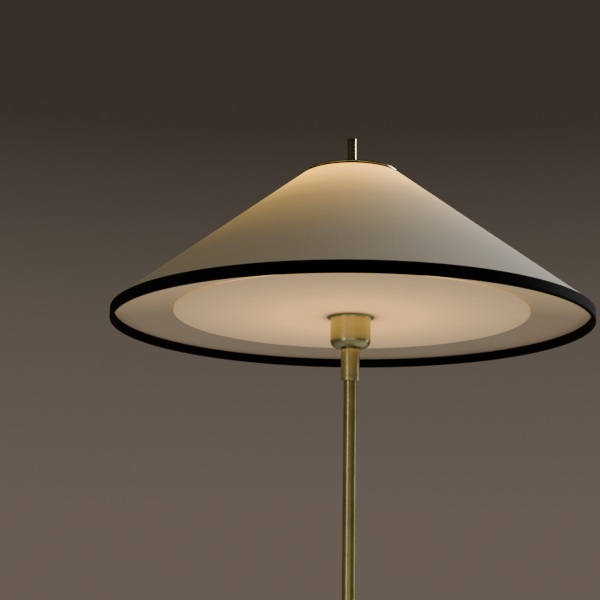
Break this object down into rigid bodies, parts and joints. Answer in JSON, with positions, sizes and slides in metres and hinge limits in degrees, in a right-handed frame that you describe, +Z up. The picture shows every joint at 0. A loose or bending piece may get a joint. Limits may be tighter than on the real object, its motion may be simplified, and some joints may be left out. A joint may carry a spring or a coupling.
{
  "type": "tripod floor lamp",
  "caption": "Floor lamp with a wide shallow cone shade in pale cloth with black ribbon edges, an opal disc below it, a slim satin brass stem and splayed legs.",
  "frame": {"origin": "on the floor, under the stem's axis, level with the soles of the feet", "axes": "+Z up along the stem; one leg points along -Y and the cord inlet faces +Y"},
  "size_m": [0.4949, 0.495, 1.4988],
  "materials": {
    "brass": "satin, fine brushed, slightly aged",
    "plated_cap": "plain",
    "cloth": "fine plain weave on a stiff backing",
    "ribbon": "fine ribbed ribbon",
    "lining": "smooth white lining",
    "opal": "satin opal",
    "bulb_glass": "opal",
    "holder_plastic": "moulded",
    "cable_sheath": "smooth",
    "foot_rubber": "matt",
    "ring_wire": "white coated wire",
    "screw_steel": "blackened"
  },
  "bodies": {
    "stand": {"hub": "brass", "hub_plug": "brass", "cord_inlet": "holder_plastic", "terminal_block": "holder_plastic", "grub_screw": "screw_steel", "leg_1": "brass", "leg_2": "brass", "leg_3": "brass", "foot_1": "foot_rubber", "foot_2": "foot_rubber", "foot_3": "foot_rubber", "stem_lower": "brass", "stem_joiner": "brass", "stem_upper": "brass", "stem_bush": "brass", "nipple": "brass", "inner_cable": "cable_sheath", "collar": "brass", "holder_cup": "brass", "cup_nut": "brass", "lampholder": "holder_plastic", "thread_shell": "brass", "centre_contact": "brass", "diffuser": "opal", "saddle": "brass", "ring_nut": "brass", "harp": "brass", "harp_swivel": "brass"},
    "top_seat": {"top_cap": "brass", "finial_washer": "brass"},
    "shade": {"shade_cover": "cloth", "bottom_trim": "ribbon", "top_trim": "ribbon", "bottom_ring": "ring_wire", "top_ring": "ring_wire", "lower_lining": "lining", "spider": "ring_wire"},
    "finial": {"finial": "brass"},
    "bulb": {"bulb_cap": "plated_cap", "bulb_glass": "bulb_glass"}
  },
  "joints": [
    {"name": "shade_lift", "type": "slide", "parent": "stand", "child": "top_seat", "axis": [0, 0, 1], "range_m": [0, 0.19]},
    {"name": "shade_turn", "type": "hinge", "parent": "top_seat", "child": "shade", "pos_m": [0, 0, 1.457], "axis": [0, 0, 1], "continuous": true},
    {"name": "finial_turn", "type": "hinge", "parent": "top_seat", "child": "finial", "pos_m": [0, 0, 1.4593], "axis": [0, 0, 1], "continuous": true},
    {"name": "bulb_turn", "type": "hinge", "parent": "stand", "child": "bulb", "pos_m": [0, 0, 1.286], "axis": [0, 0, 1], "continuous": true}
  ]
}
